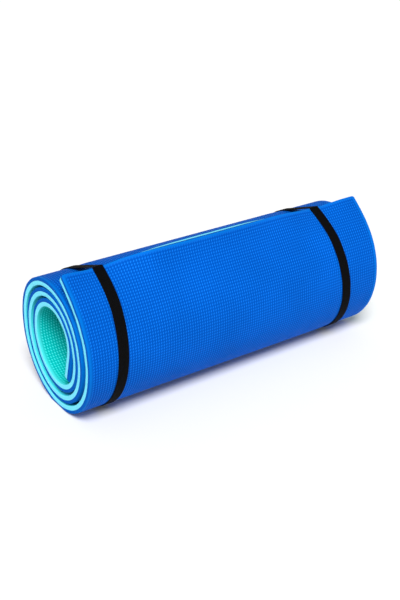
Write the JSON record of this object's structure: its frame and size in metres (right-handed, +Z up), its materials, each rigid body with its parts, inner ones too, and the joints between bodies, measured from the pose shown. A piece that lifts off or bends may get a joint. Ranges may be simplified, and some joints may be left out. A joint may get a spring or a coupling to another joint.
{
  "type": "foam sleeping pad",
  "caption": "Rolled two-layer foam sleeping pad with an open core, a springy free end and elastic straps that slide off its ends.",
  "frame": {"origin": "middle of the bounding box's underside, which is the level of the floor that the mat rests on", "axes": "+X along the roll from the left strap to the right strap, +Y to the back, away from the mat's free outer end, +Z up"},
  "size_m": [0.6, 0.2378, 0.2606],
  "materials": {
    "foam_blue": "matte",
    "foam_turquoise": "matte",
    "strap_elastic": "matte",
    "thread": "matte"
  },
  "bodies": {
    "mat": {"foam_outer_layer": "foam_blue", "foam_inner_layer": "foam_turquoise"},
    "left_strap": {"strap_left": "strap_elastic", "strap_left_stitching": "thread"},
    "right_strap": {"strap_right": "strap_elastic", "strap_right_stitching": "thread"}
  },
  "joints": [
    {"name": "left_strap_slide", "type": "slide", "parent": "mat", "child": "left_strap", "axis": [-1, 0, 0], "range_m": [0, 0.1]},
    {"name": "right_strap_slide", "type": "slide", "parent": "mat", "child": "right_strap", "axis": [1, 0, 0], "range_m": [0, 0.12]}
  ]
}
